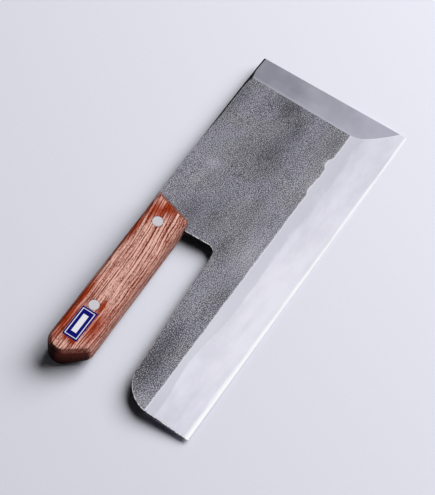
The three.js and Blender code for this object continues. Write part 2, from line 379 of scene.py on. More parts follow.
# The mitre between bevel and facet, the bevel's feather and the spine's grind
MITRE_DROP = 4.4 * MM
MITRE_QUICK = 0.06
MITRE_END = 4.6 * MM
MITRE_SAG = 1.0 * MM
MITRE_SPREAD = 8 * MM
FEATHER_SHARE = 0.6
GRIND_EVEN = 38 * MM
GRIND_FLARE = 5 * MM

# Clouds in the forged skin, and a painted shadow of the handle's front end at (121, 79): middle and half
# size in millimetres, and how light or dark
SKIN_CLOUDS_AND_SHADOW = (
    (26, 43, 24, 7.5, -0.75), (49, 42, 14, 5, -0.16), (84, 33, 16, 3.5, -0.16), (112.5, 51, 6, 4, -0.3),
    (126, 65, 14, 4.5, -0.26), (121, 79, 11, 5, -0.32), (142, 49, 14, 4, -0.08), (181, 61, 17, 9, -0.34),
    (174, 75, 14, 5, -0.12), (215, 68, 9, 9, -0.48), (206, 57, 9, 5, -0.26), (208, 82, 8, 4, -0.18),
    (206, 99, 18, 4, -0.24), (211, 34, 9, 4, -0.14), (156, 86, 4, 4.5, 0.28), (144, 87, 5, 3, 0.2),
    (116, 35, 17, 7, 0.32), (171, 37, 20, 5, 0.14), (4, 35, 7, 7, 0.36), (160, 95, 36, 7, 0.06),
    (72, 44, 14, 6, 0.12), (110, 31, 110, 4, 0.06), (177, 30.5, 6, 1.5, 0.35), (196, 31.4, 3.6, 1.2, 0.35),
)

# The same in the bevel: greyer at both ends and below the ridge toward the tip, lighter low in the middle
BEVEL_CLOUDS = (
    (0, 15, 14, 18, -0.36), (180, 21, 50, 8, -0.2), (214, 12, 18, 12, -0.28), (95, 8, 60, 9, 0.2),
    (64, 27, 26, 4, 0.07), (104, 17, 22, 5, 0.08), (12, 12, 8, 1.3, -0.2), (26, 12.4, 12, 1.1, -0.15),
    (78, 11.6, 12, 1, -0.15),
)

# The bevel's grey band, in millimetres: its depth at the heel, how much it gains and over what length, the
# middle, half length and height of the place where it narrows, and between which places its border softens
# from the first width to the second
BAND_DEPTH = 6.6
BAND_GAIN = (1.4, 90)
BAND_NARROWS = (42, 22, 3.0)
BAND_SOFTENS = (95, 150)
BAND_FADE = (0.6, 2.4)

# Slow waves that hammering leaves in the iron and grinding leaves in the bevel: length, direction, phase
FORGE_WAVES = ((46, 0.5, 0.3), (31, 1.9, 2.0), (23, 2.7, 4.4), (17, 1.1, 5.5))
FORGE_DEPTH = 0.018 * MM


class BladeShape:
    """The blade's outline and grinds in the flat frame. The heel's arc touches the inner edge and meets the
    straight heel end just above the ridge, so its centre lies a radius from both."""

    def __init__(self, sizes):
        self.sizes = sizes
        self.facet_line = sizes.edge_length - sizes.facet_width
        low, high = RIVET_BOXES["front"]
        self.tang_middle = float(low[1] + high[1]) / 2
        self.tang_low = self.tang_middle - sizes.tang_width / 2
        self.tang_high = self.tang_middle + sizes.tang_width / 2
        corner = np.array([sizes.gap_length + sizes.choil_lean, sizes.throat_height])
        self.inner_angle = math.atan2(sizes.throat_height - sizes.heel_height, corner[0])
        self.choil_angle = math.atan2(sizes.choil_lean, self.tang_low - sizes.throat_height)
        radius = sizes.heel_radius
        self.heel_start = self.ridge_line(np.zeros(1))[0] + HEEL_STEP
        slope = math.tan(self.inner_angle)
        drop = sizes.heel_height - radius / math.cos(self.inner_angle) - self.heel_start
        reach = math.sqrt(radius ** 2 * (1 + slope ** 2) - drop ** 2)
        heel_x = (reach - slope * drop) / (1 + slope ** 2)
        self.heel_centre = np.array([heel_x, self.heel_start + slope * heel_x + drop])
        normals = np.array([
            [-math.sin(self.inner_angle), math.cos(self.inner_angle)],
            [-math.cos(self.choil_angle), -math.sin(self.choil_angle)],
        ])
        reach = np.full(2, sizes.throat_radius)
        self.throat_centre = corner + np.linalg.solve(normals, reach)
        self.throat_x = self.throat_centre[0] + sizes.throat_radius * math.cos(self.choil_angle)
        self.throat_y = self.throat_centre[1] + sizes.throat_radius * math.sin(self.choil_angle)

    def inner(self, x):
        """Height of the heel's inner edge: a straight line rising to the throat."""
        return self.sizes.heel_height + x * math.tan(self.inner_angle)

    def tip(self, y):
        """The tip end: a straight line leaning back toward the spine."""
        return self.sizes.edge_length - self.sizes.tip_lean * y / self.sizes.height

    def rear(self, y):
        """Where the upper blade starts: up the choil, along the tang's root, then out to the shoulder."""
        s = self.sizes
        heights = [self.throat_y, self.tang_low, self.tang_high, self.tang_high + ROOT_STEP, s.height]
        return np.interp(y, heights, [self.throat_x, s.gap_length, s.gap_length, s.shoulder, s.shoulder])

    def columns(self):
        """Stations along the lower blade: equal turns round the heel's arc, even steps along the inner edge,
        equal turns round the throat, even steps to the facet and across it. Gives each station's x, the
        lower blade's top there, and its share of the way across the facet."""
        s = self.sizes
        start = np.pi - math.asin((self.heel_start - self.heel_centre[1]) / s.heel_radius)
        turn = np.linspace(start, np.pi / 2 + self.inner_angle, HEEL_STEPS)
        heel = self.heel_centre[:, None] + s.heel_radius * np.stack([np.cos(turn), np.sin(turn)])
        turn = np.linspace(self.inner_angle - np.pi / 2, self.choil_angle, THROAT_STEPS)
        throat = self.throat_centre[:, None] + s.throat_radius * np.stack([np.cos(turn), np.sin(turn)])
        inner = np.linspace(heel[0, -1], throat[0, 0], INNER_STEPS)[1:-1]
        flat = np.linspace(throat[0, -1] + s.arris_width, self.facet_line, FLAT_STEPS)
        share = np.linspace(0, 1, FACET_STEPS + 1)[1:]
        x = np.concatenate([heel[0], inner, throat[0], flat, np.full(FACET_STEPS, self.facet_line)])
        top = np.concatenate([
            heel[1], self.inner(inner), throat[1], np.full(FLAT_STEPS + FACET_STEPS, self.throat_y)
        ])
        return x, top, np.concatenate([np.zeros(len(x) - FACET_STEPS), share])

    def facet_share(self, x, y):
        """Share of the way across the facet, from its line to the tip end."""
        return np.clip((x - self.facet_line) / (self.tip(y) - self.facet_line), 0, 1)

    def across(self, x, share, y):
        """Plan x of the stations at heights y: the facet's stations fan out to the leaning tip end."""
        return np.where(share > 0, self.facet_line + share * (self.tip(y) - self.facet_line), x)

    def ridge_line(self, x):
        """The ridge's height before wear: a falling line with sine waves."""
        waves = sum(
            size * np.sin(2 * np.pi * x / (length * MM) + phase) for size, length, phase in RIDGE_WAVES
        )
        return self.sizes.bevel_width + RIDGE_START - RIDGE_FALL * x + waves * MM

    def nicks(self, x):
        """How far wear moves the ridge up: a sum of flat-topped bells, by the fourth power."""
        return MM * sum(
            rise * np.exp(-(((x / MM - place) / half) ** 4)) for place, half, rise in RIDGE_NICKS
        )

    def ridge(self, x, share):
        """Top of the bevel: the worn ridge line up to the facet, then the mitre, which drops quickly at
        first and then runs in a slight sag to the tip end."""
        start = self.ridge_line(np.array(self.facet_line))
        line = MITRE_END + (start - MITRE_DROP - MITRE_END) * (1 - share)
        mitre = line - 4 * MITRE_SAG * share * (1 - share) + MITRE_DROP * np.exp(-share / MITRE_QUICK)
        return np.where(share > 0, mitre, self.ridge_line(x) + self.nicks(x))

    def band(self, x):
        """Depth of the bevel's grey band: it grows evenly to its full depth, and narrows in a bell shape."""
        gain, length = BAND_GAIN
        middle, half, height = BAND_NARROWS
        x = x / MM
        narrower = height * np.exp(-(((x - middle) / half) ** 2))
        return BAND_DEPTH + gain * np.minimum(x / length, 1) - narrower

    def feather(self, ridge):
        """Where the bevel's soft iron thins out to nothing over the hard steel."""
        s = self.sizes
        start = self.ridge_line(np.array(self.facet_line))
        thin = (s.steel_thickness + SKIN - s.edge_land) * start / (s.thickness - s.edge_land)
        return np.minimum(thin, FEATHER_SHARE * ridge)

    def steel_top(self, top):
        """Upper border of the hard steel on the back: level, but bent down round the heel's corner."""
        s = self.sizes
        share = (s.steel_width - s.bevel_width) / (self.inner(s.heel_radius) - s.bevel_width)
        return np.minimum(s.steel_width, s.bevel_width + share * (top - s.bevel_width))

    def grind_line(self, x):
        """Width of the slanting grind on the spine where it meets the flat: it grows to the break's width
        and flares out just before the facet."""
        s = self.sizes
        share = np.clip((x - self.facet_line + s.grind_length) / (s.grind_length - GRIND_EVEN), 0, 1)
        flare = np.exp(-np.maximum(self.facet_line - x, 0) / GRIND_FLARE)
        return s.spine_break * share + (s.grind_width - s.spine_break) * flare

    def grind_border(self, x, share):
        """Lower border of the spine's grind: its line on the flat, closing again as the facet falls away."""
        s = self.sizes
        fall = (s.thickness - s.facet_end) * share * s.grind_width / s.grind_depth
        least = np.where(share > 0, s.spine_break, STEP)
        return s.height - np.maximum(self.grind_line(x) - fall, least)

    def arris(self, x, y):
        """Depth of the ground line round the heel and finger gap: full at the outline, none at its width."""
        s = self.sizes
        heel = np.hypot(x - self.heel_centre[0], y - self.heel_centre[1])
        throat = np.hypot(x - self.throat_centre[0], y - self.throat_centre[1])
        in_heel = (x < self.heel_centre[0]) & (y > self.heel_centre[1])
        in_throat = (x > self.throat_centre[0] - STEP) & (y < self.throat_centre[1] + STEP)
        before = x < self.throat_centre[0]
        gaps = np.stack([
            np.where(in_heel, np.minimum(s.heel_radius - heel, x), x),
            np.where(before & ~in_heel, (self.inner(x) - y) * math.cos(self.inner_angle), s.height),
            np.where(in_throat, throat - s.throat_radius, s.height),
            np.where((y > self.throat_y - STEP) & (y < self.tang_low), x - self.rear(y), s.height),
        ])
        return s.arris_depth * np.clip(1 - gaps.min(0) / s.arris_width, 0, 1)

    def top(self, x, y, share, ridge):
        """Height of the bevel side: the bevel rises evenly to the ridge, the facet falls evenly to the tip
        with a hollow along the mitre, the rest is level; the spine's grind and the arris cut into it, and
        slow waves lie over all of it."""
        s = self.sizes
        rise = s.thickness - s.edge_land
        slope = rise / self.ridge_line(np.minimum(x, self.facet_line))
        facet = s.thickness - (s.thickness - s.facet_end) * share
        past = np.maximum(y - ridge, 0)
        hollow = (s.edge_land + slope * ridge - facet) * np.exp(-past / MITRE_SPREAD)
        upper = np.where(share > 0, facet + hollow, s.thickness)
        made = np.where(y <= ridge, np.minimum(s.edge_land + slope * y, s.thickness), upper)
        slope = s.grind_depth / s.grind_width
        grind = slope * (y - s.height + self.grind_line(x))
        broken = slope * np.maximum(y - s.height + s.spine_break, 0) * (share > 0)
        made = np.minimum(made * (1 - broken / s.thickness), s.thickness - np.maximum(grind, 0))
        waves = sum(
            np.sin(2 * np.pi * (x * math.cos(way) + y * math.sin(way)) / (length * MM) + phase)
            for length, way, phase in FORGE_WAVES
        )
        cover = np.clip((made - s.facet_end) / s.thickness, 0, 1)
        cut = self.arris(x, y) * made / s.thickness
        return made + FORGE_DEPTH * cover * (waves - len(FORGE_WAVES)) - cut

    def joint(self, top):
        """Where soft iron meets hard steel: level, or just under the ground surface where that is lower."""
        return np.minimum(self.sizes.steel_thickness, top - SKIN)

    def lower(self, lines, counts):
        """Lower blade on its stations, as an array of (x, y, top) between the given guide lines."""
        x, _, share = self.columns()
        y = strips(lines, counts)
        ridge = self.ridge(x, share)
        across = self.across(x, share, y)
        return np.stack([across, y, self.top(across, y, share, ridge)], -1)

    def guide_lines(self):
        """Guide lines of the lower blade, from the cutting edge up."""
        x, top, share = self.columns()
        ridge = self.ridge(x, share)
        border = np.where(x < self.throat_x, self.sizes.arris_width, STEP)
        return {
            "edge": np.zeros_like(x),
            "feather": self.feather(ridge),
            "ridge": ridge,
            "steel": self.steel_top(top),
            "step": self.steel_top(top) + STEP,
            "arris": np.maximum(top - border, self.steel_top(top) + 2 * STEP),
            "top": top,
        }

    def upper(self):
        """Upper blade on the stations from the throat's last one on, up to the spine, fanned out to the
        choil and the tip."""
        s = self.sizes
        x, _, share = self.columns()
        # The inner edge's two end stations belong to the heel and to the throat
        throat_end = HEEL_STEPS + (INNER_STEPS - 2) + THROAT_STEPS - 1
        x = x[throat_end:]
        share = share[throat_end:]
        ridge = self.ridge(x, share)
        level = np.ones_like(x)
        grind = self.grind_border(x, share)
        heights = (self.throat_y, self.tang_low, self.tang_high, self.tang_high + ROOT_STEP)
        lines = [level * height for height in heights]
        y = strips([*lines, grind, level * s.height], UPPER_COUNTS)
        reach = (self.facet_line - x) / (self.facet_line - self.throat_x)
        fan = np.where(share > 0, 0, reach) * (self.rear(y) - self.throat_x)
        across = self.across(x, share, y) + fan
        return np.stack([across, y, self.top(across, y, share, ridge)], -1)

    def tang(self):
        """The tang: level, its rear corners rounded, on the upper blade's rows. It has no bores here, so the
        rivets overlap it inside the handle. The solid is bored."""
        s = self.sizes
        y = np.linspace(self.tang_low, self.tang_high, TANG_ROWS + 1)[:, None]
        over = np.maximum(np.abs(y - self.tang_middle) - s.tang_width / 2 + s.tang_radius, 0)
        rear = s.tang_rear + s.tang_radius - np.sqrt(s.tang_radius ** 2 - over ** 2)
        x = rear + (s.gap_length - rear) * np.linspace(0, 1, TANG_COLUMNS)
        full = np.broadcast_to(y, x.shape)
        return np.stack([x, full, np.full(x.shape, s.thickness)], -1)


def with_bottom(grid, bottom):
    """A grid of (x, y, top) with its bottom heights added."""
    return np.concatenate([grid, bottom[..., None]], -1)


def clouds(x, y, patches):
    """Light and dark clouds of a surface: a sum of bell-shaped patches."""
    return sum(
        level * np.exp(-(((x / MM - middle_x) / half_x) ** 2) - ((y / MM - middle_y) / half_y) ** 2)
        for middle_x, middle_y, half_x, half_y, level in patches
    )


def mark(made, shape, flat):
    """Gives a piece of the blade the level of its clouds and of the painted shadow of the handle's front
    end, its depth below the ridge in millimetres, and its depth below the band's border in widths of that
    border."""
    x, y = flat[:, 0], flat[:, 1]
    below = (shape.ridge(x, shape.facet_share(x, y)) - y) / MM
    below_band = (shape.ridge_line(x) - y) / MM - shape.band(x)
    marks = {
        "clouds": np.where(below > 0, clouds(x, y, BEVEL_CLOUDS), clouds(x, y, SKIN_CLOUDS_AND_SHADOW)),
        "below_ridge": below,
        "below_band": below_band / np.interp(x / MM, BAND_SOFTENS, BAND_FADE),
    }
    for name, values in marks.items():
        attribute = made.data.attributes.new(name, "FLOAT", "POINT")
        attribute.data.foreach_set("value", values.astype(np.float32))


def build_blade_iron(sizes, colours):
    """Soft iron: three plan grids joined into one closed plate, hollowed below for the hard steel."""
    shape = BladeShape(sizes)
    lines = shape.guide_lines()
    guides = [lines[name] for name in ("feather", "ridge", "steel", "step", "arris", "top")]
    lower = shape.lower(guides, IRON_COUNTS)
    over_steel = np.arange(len(lower))[:, None] <= IRON_COUNTS[0] + IRON_COUNTS[1]
    lower = with_bottom(lower, np.where(over_steel, shape.joint(lower[..., 2]), 0))
    upper = shape.upper()
    tang = shape.tang()
    grids = [lower] + [with_bottom(grid, np.zeros(grid.shape[:2])) for grid in (upper, tang)]
    points, quads = weld(grids)
    flat, faces, border = slab(points, quads)
    middle = points[quads].mean(1)
    x, y = middle[:, 0], middle[:, 1]
    share = shape.facet_share(x, y)
    ridge = shape.ridge(x, share)
    facing = np.full(len(quads), PEAR_SKIN)
    facing[y < ridge] = BEVEL
    facing[(share > 0) & (y > ridge)] = FACET
    facing[y > shape.grind_border(x, share)] = FORGE
    facing[shape.arris(x, y) > 0] = ARRIS
    side = points[border].mean(1)
    thin = (side[:, 1] < sizes.bevel_width) & (side[:, 0] > STEP)
    wall = np.where(thin, BEVEL, np.where(side[:, 0] > shape.facet_line, FACET, FORGE))
    parts = np.concatenate([facing, np.full(len(quads), FORGE), wall])
    finishes = (pear_skin_iron, ground_bevel, satin_facet, forge_scale, bright_arris)
    materials = [finish(colours) for finish in finishes]
    made = piece(
        "blade_iron", flat, faces.tolist(), materials, parts, CREASE, ["blade_body"]
    )
    mark(made, shape, flat)
    return made


def build_edge_steel(sizes, colours):
    """Hard steel: a thin strip that follows the edge and lies under the iron, on the same stations."""
    shape = BladeShape(sizes)
    lines = shape.guide_lines()
    guides = [lines[name] for name in ("edge", "feather", "ridge", "steel")]
    strip = shape.lower(guides, STEEL_COUNTS)
    strip[..., 2] = shape.joint(strip[..., 2])
    points, quads = weld([with_bottom(strip, np.zeros(strip.shape[:2]))])
    flat, faces, _ = slab(points, quads)
    middle = points[quads].mean(1)
    ends = np.zeros(len(faces), int)
    ends[:len(quads)] = shape.arris(middle[:, 0], middle[:, 1]) > 0
    materials = [polished_edge(colours), bright_arris(colours)]
    made = piece(
        "edge_steel_strip", flat, faces.tolist(), materials, ends, CREASE, ["edge_steel"]
    )
    mark(made, shape, flat)
    return made


# Handle

CORNER_STEPS = 22
ROUND_STEPS = 64
WOOD_CREASE = math.radians(28)

# The face's margin and the chamfer with eased corners: inset and depth as shares of the chamfer
CHAMFER_SECTION = (
    (3, 0), (2, 0), (1.18, 0), (1.06, 0.02), (0.92, 0.09),
    (0.80, 0.20), (0.20, 0.80), (0.09, 0.92), (0.02, 1.06), (0, 1.18),
)

# The fine break along the seam, and the gap between the recess's level face and the tang's
SEAM_INSET = 0.15 * MM
SEAM_RISE = 0.2 * MM
TANG_GAP = 0.1 * MM

# Depth of a rivet head's seat and of the head, the tube's wall, and the clearance round the tube
SEAT_DEPTH = 1.5 * MM
HEAD_DEPTH = 1.45 * MM
TUBE_WALL = 0.6 * MM
BORE_GAP = 0.34 * MM

# The pin's tapered point, the steps of a head's rim and crown, and where the crown starts
PIN_POINT = 0.8
PIN_TAPER = 0.3 * MM
RIM_STEPS = 6
CROWN_STEPS = 8
CROWN_START = 0.85
RIVET_CREASE = math.radians(40)

# The label's corners, and the share of the film's thickness that its edge stands upright
LABEL_STEPS = 10
FILM_UPRIGHT = 0.7
LABEL_CREASE = math.radians(30)


def handle_corners(sizes):
    """Corners and radii of the handle's outline, anticlockwise from the butt's spine corner: the butt end is
    a line at its slant, tangent to the rounded corner, and the belly widens evenly to the rear."""
    butt, front, spine = float(SCALE_LOW[0]), float(SCALE_HIGH[0]), float(SCALE_HIGH[1])
    slope = (sizes.rear_width - sizes.front_width) / (front - butt - sizes.front_lean)
    sine, cosine = math.sin(sizes.butt_slant), math.cos(sizes.butt_slant)
    start = np.array([butt + sizes.butt_radius * (1 - cosine), spine - sizes.butt_radius * (1 + sine)])
    to_spine = (spine - start[1]) / cosine
    over_belly = start[1] - spine + sizes.rear_width - slope * (start[0] - butt)
    to_belly = over_belly / (cosine + slope * sine)
    rear = start + to_belly * np.array([sine, -cosine])
    belly_front = front - sizes.front_lean
    corners = [
        (start[0] - to_spine * sine, spine),
        tuple(rear),
        (belly_front, spine - sizes.rear_width + slope * (belly_front - butt)),
        (front, spine),
    ]
    return corners, (sizes.butt_radius, sizes.belly_radius, sizes.front_radius, sizes.front_radius)


def outline_rings(corners, radii, section, steps):
    """A rounded outline carried through a section of (inset, height) pairs, one level ring for each."""
    rings = []
    for inset, height in section:
        outline = rounded_outline(corners, radii, inset, steps)
        rings.append(np.column_stack([outline, np.full(len(outline), height)]))
    return np.stack(rings)


def scale_rings(sizes, thickness):
    """The scale's section from the outer face round to the recess: the face's margin, a chamfer with eased
    corners, the upright side, a fine break at the seam, the rim and the recess wall. The rim also runs
    across the front, so it overlaps the blade there, and the tang's spine edge, inside the handle."""
    top = float(SCALE_HIGH[2])
    seam = float(SCALE_LOW[2])
    chamfer = sizes.chamfer
    section = [(inset * chamfer, top - depth * chamfer) for inset, depth in CHAMFER_SECTION]
    section += [
        (0, seam + SEAM_RISE),
        (SEAM_INSET, seam),
        (sizes.wall - SEAM_INSET, seam),
        (sizes.wall, seam + SEAM_RISE),
        (sizes.wall, thickness + TANG_GAP),
    ]
    return outline_rings(*handle_corners(sizes), section, CORNER_STEPS)


def back_swell(x):
    """How much deeper the back scale is than its twin: an even slope through the heads of both rivets."""
    front, rear = (TUBE_BOXES[place][0] for place in RIVET_PLACES)
    slope = (rear[2] - front[2]) / (rear[0] - front[0])
    twin = STEEL_LOW[2] + IRON_HIGH[2] - RIVET_BOXES["front"][1][2]
    return twin - front[2] - slope * (x - front[0])


def worn_corner(sizes, flat):
    """How far points rise where the butt's lower corner is worn: most at the corner on the belly side, by
    the square of the nearness to it, and nothing above the blade's back."""
    corner = handle_corners(sizes)[0][1]
    gap = np.hypot(flat[:, 0] - corner[0], flat[:, 1] - corner[1])
    near = np.clip(1 - gap / sizes.ease_reach, 0, 1) ** 2
    return sizes.corner_ease * near * np.clip(-flat[:, 2] / sizes.corner_ease, 0, 1)


def build_scale(name, node, sizes, thickness, heads, grain, below):
    """One scale: its section carried round the outline, two rivet bores with seats, and two level faces
    with holes. The lower scale is the upper one mirrored in the blade's middle plane, swelling to the butt
    and worn at one corner."""
    rings = scale_rings(sizes, thickness)
    count = rings.shape[1]
    points = [rings.reshape(-1, 3)]
    faces = loft(rings)[:, ::-1].tolist()
    start = rings.shape[0] * count
    outer_loops = []
    inner_loops = []
    for low, high in heads.values():
        centre = (low[:2] + high[:2]) / 2
        seat = (high[0] - low[0]) / 2 + sizes.seat_gap
        bore = sizes.rivet_pin / 2 + sizes.rivet_fit + TUBE_WALL + BORE_GAP
        floor = SCALE_HIGH[2] - SEAT_DEPTH
        radii = ((seat, SCALE_HIGH[2]), (seat, floor), (bore, floor), (bore, rings[-1, 0, 2]))
        chain = np.stack([ring(centre, radius, height, ROUND_STEPS) for radius, height in radii])
        points.append(chain.reshape(-1, 3))
        faces += (loft(chain) + start).tolist()
        outer_loops.append((chain[0], start))
        inner_loops.append((chain[-1], start + start_of(chain)))
        start += len(chain) * ROUND_STEPS
    levels = ((rings[0], 0, outer_loops, True), (rings[-1], start_of(rings), inner_loops, False))
    for loop, first, holes, up in levels:
        index = [first + np.arange(count)] + [at + np.arange(ROUND_STEPS) for _, at in holes]
        triangles = holed_face(loop, [hole for hole, _ in holes], up)
        faces += np.concatenate(index)[triangles].tolist()
    flat = np.concatenate(points)
    if below:
        flat[:, 2] = thickness - flat[:, 2]
        flat[:, 2] -= np.where(flat[:, 2] < -sizes.chamfer / 2, back_swell(flat[:, 0]), 0)
        flat[:, 2] += worn_corner(sizes, flat)
        faces = [face[::-1] for face in faces]
    made = piece(name, flat, faces, [grain], np.zeros(len(faces)), WOOD_CREASE, [node])
    # The pale floor takes no red light from the oak
    made.visible_diffuse = False
    return made


def start_of(rings):
    """Index of the last ring's first point."""
    return (rings.shape[0] - 1) * rings.shape[1]


def turned(centre, profile):
    """A closed turned body: a profile of (radius, height) pairs, its ends on the axis, carried round it."""
    rings = np.stack([ring(centre, radius, height, ROUND_STEPS) for radius, height in profile[1:-1]])
    ends = np.array([[*centre, profile[0][1]], [*centre, profile[-1][1]]])
    points = np.concatenate([rings.reshape(-1, 3), ends])
    last = len(points) - 2
    here = np.arange(ROUND_STEPS)
    after = (here + 1) % ROUND_STEPS
    first_fan = np.column_stack([after, here, np.full(ROUND_STEPS, last)])
    final = start_of(rings)
    last_fan = np.column_stack([here + final, after + final, np.full(ROUND_STEPS, last + 1)])
    return points, loft(rings).tolist() + first_fan.tolist() + last_fan.tolist()


def head_profile(sizes, radius, face, under, outward):
    """A rivet head from its underside to the middle of its face: upright side, rounded rim, low crown."""
    rim = sizes.rivet_rim
    side = [(radius, under), (radius, face - outward * rim)]
    curve = [
        (radius - rim * (1 - math.cos(angle)), face - outward * rim * (1 - math.sin(angle)))
        for angle in np.linspace(0, np.pi / 2, RIM_STEPS)[1:]
    ]
    crown = [
        (share * (radius - rim), face + outward * sizes.rivet_dome * (1 - share ** 2))
        for share in np.linspace(CROWN_START, 0, CROWN_STEPS)
    ]
    return side + curve + crown


def build_rivets(sizes, colours):
    """Solid and tubular rivet halves, each a turned profile."""
    metal = satin_aluminium(colours)
    for place in RIVET_PLACES:
        low, high = RIVET_BOXES[place]
        tube_low, tube_high = TUBE_BOXES[place]
        centre = (low[:2] + high[:2]) / 2
        radius = float(high[0] - low[0]) / 2
        under = high[2] - HEAD_DEPTH
        over = tube_low[2] + HEAD_DEPTH
        pin = sizes.rivet_pin / 2
        bore = pin + sizes.rivet_fit
        tube = bore + TUBE_WALL
        solid = [(0, low[2]), (pin * PIN_POINT, low[2]), (pin, low[2] + PIN_TAPER), (pin, under)]
        solid += head_profile(sizes, radius, high[2], under, 1)
        hollow = [(0, over), (bore, over), (bore, tube_high[2]), (tube, tube_high[2]), (tube, over)]
        hollow += head_profile(sizes, radius, tube_low[2], over, -1)
        for kind, profile, flip in (("solid", solid, False), ("tube", hollow, True)):
            points, faces = turned(centre, profile)
            if flip:
                faces = [face[::-1] for face in faces]
            name = f"{place}_rivet_{kind}"
            parts = np.zeros(len(faces))
            piece(name, points, faces, [metal], parts, RIVET_CREASE, [f"{name}_half"])


def build_label(sizes, colours):
    """Label film: a rounded outline carried up the film's edge, with a flat top and underside."""
    low, high = LABEL_LOW, LABEL_HIGH
    corners = [(high[0], high[1]), (low[0], high[1]), (low[0], low[1]), (high[0], low[1])]
    wood = float(SCALE_HIGH[2])
    film = sizes.label_film
    section = ((0, wood), (0, wood + FILM_UPRIGHT * film), (STEP, wood + film))
    rings = outline_rings(corners, [sizes.label_radius] * 4, section, LABEL_STEPS)
    count = rings.shape[1]
    faces = loft(rings).tolist()
    faces.append((start_of(rings) + np.arange(count)).tolist())
    faces.append(np.arange(count)[::-1].tolist())
    materials = [printed_film(colours)]
    parts = np.zeros(len(faces))
    piece("label_film", rings.reshape(-1, 3), faces, materials, parts, LABEL_CREASE, ["label"])


# Materials

# Most of a noise's values lie between these
NOISE_SPAN = (0.3, 0.7)


def add(tree, kind, inputs, out=0, **settings):
    """Adds a node, sets its settings, sets or links its inputs, and returns one of its outputs."""
    node = tree.nodes.new("ShaderNode" + kind)
    for name, value in settings.items():
        setattr(node, name, value)
    plug(tree, node, inputs)
    return node.outputs[out]


def plug(tree, node, inputs):
    """Sets a node's inputs to values, or links them to other nodes' outputs."""
    for name, value in inputs.items():
        if isinstance(value, bpy.types.NodeSocket):
            tree.links.new(value, node.inputs[name])
        else:
            node.inputs[name].default_value = value


def ramp(tree, value, span, result, smooth=False, clamp=True):
    """Carries a value from a span over to a result's span, evenly or with smooth ends."""
    inputs = {"Value": value, 1: span[0], 2: span[1], 3: result[0], 4: result[1]}
    kind = "SMOOTHSTEP" if smooth else "LINEAR"
    return add(tree, "MapRange", inputs, interpolation_type=kind, clamp=clamp)


def blend(tree, share, first, second):
    """Goes from one colour to another by a share."""
    return add(tree, "Mix", {0: share, 6: first, 7: second}, 2, data_type="RGBA")


def noise(tree, vector, length, detail, roughness=0.5):
    """Cloudy noise, its marks of one length in millimetres."""
    inputs = {"Vector": vector, "Scale": 1 / length, "Detail": detail, "Roughness": roughness}
    return add(tree, "TexNoise", inputs)


def long_noise(tree, vector, lengths, detail, roughness=0.5, turn=0.0):
    """Cloudy noise, its marks of three lengths in millimetres and then turned about z."""
    scale = tuple(1 / length for length in lengths)
    scaled = add(tree, "Mapping", {"Vector": vector, "Scale": scale, "Rotation": (0, 0, turn)})
    return noise(tree, scaled, 1.0, detail, roughness)


def figure(tree, operation, *values, clamp=False):
    """One sum or comparison on up to three values."""
    return add(tree, "Math", dict(enumerate(values)), operation=operation, use_clamp=clamp)


def split(tree, vector):
    """The x, y and z of a vector."""
    node = tree.nodes.new("ShaderNodeSeparateXYZ")
    plug(tree, node, {"Vector": vector})
    return tuple(node.outputs)


def marked(tree, name):
    """A level that the mesh carries at its points."""
    return add(tree, "Attribute", {}, 2, attribute_name=name)


def bumps(tree, height, strength, depth, invert=False):
    """Fine relief of a depth, as a shading normal."""
    inputs = {"Height": height, "Strength": strength, "Distance": depth}
    return add(tree, "Bump", inputs, invert=invert)


def start_material(name):
    """A material with its node tree, its shader, and the piece's points in flat millimetres."""
    made = bpy.data.materials.new(name)
    made.use_nodes = True
    tree = made.node_tree
    shader = tree.nodes["Principled BSDF"]
    points = tree.nodes.new("ShaderNodeTexCoord").outputs["Object"]
    flat = add(tree, "Mapping", {
        "Vector": points,
        "Scale": (1 / MM, 1 / MM, 1 / MM),
        "Rotation": Matrix(TURN.T.tolist()).to_euler(),
        "Location": tuple(-HEEL / MM),
    })
    return made, tree, shader, flat


# The skin's grains, 0.5 mm across because finer ones would not show at this distance; they stand out more
# toward the heel, between these places in millimetres
GRAIN_SIZE = 0.5
GRAIN_DEPTH = (-0.85, 0.85)
GRAIN_RUN = (95, 20)
GRAIN_GAIN = (0.75, 1.3)

# The honed edge: how much narrower it gets from heel to tip, and between which heights it fades
EDGE_RUN = (0, 220)
EDGE_NARROWS = (0.8, 2.0)
EDGE_FADE = (0.8, 3.2)

# The facet: heights between which it goes from its edge tone to its spine tone, how far clouds sway that,
# and the painted highlight along the line where it starts, in millimetres
FACET_HEIGHTS = (21, 96)
FACET_SWAY = (-18, 18)
FACET_GLINT = (220.3, 222.6)


def pear_skin_iron(colours):
    """Soft iron as forged: a fine salt-and-pepper skin of pits, clouded where it was hammered, with a
    painted shadow of the handle's front end.
    """
    made, tree, shader, flat = start_material("pear-skin forged iron")
    x, _, _ = split(tree, flat)
    grains = noise(tree, flat, GRAIN_SIZE, 0.0)
    speckle = ramp(tree, grains, NOISE_SPAN, GRAIN_DEPTH, clamp=False)
    heel = ramp(tree, x, GRAIN_RUN, GRAIN_GAIN, smooth=True)
    spread = figure(tree, "MULTIPLY", speckle, heel)
    mottle = long_noise(tree, flat, (16, 8, 8), 2.5, 0.6)
    mottled = ramp(tree, mottle, NOISE_SPAN, (0.33, 0.48), clamp=False)
    # The clouds carry a painted shadow of the handle's front end as well
    clouded = figure(tree, "ADD", mottled, marked(tree, "clouds"))
    factor = figure(tree, "ADD", spread, clouded, clamp=True)
    drift = noise(tree, flat, 20, 1.5)
    warmth = ramp(tree, drift, (0.38, 0.62), (0.0, 1.0))
    light = blend(tree, warmth, colours.iron_light, colours.iron_warm)
    tone = blend(tree, factor, colours.iron_dark, light)
    # Rubbed lighter just above the ridge
    rubbed = ramp(tree, marked(tree, "below_ridge"), (-0.8, 0.0), (0.0, 0.45))
    soft = blend(tree, rubbed, tone, colours.bevel)
    relief = bumps(tree, speckle, 0.35, 0.05 * MM)
    rough = ramp(tree, speckle, (-1.0, 1.0), (0.62, 0.46))
    plug(tree, shader, {"Base Color": soft, "Metallic": 0.9, "Roughness": rough, "Normal": relief})
    return made


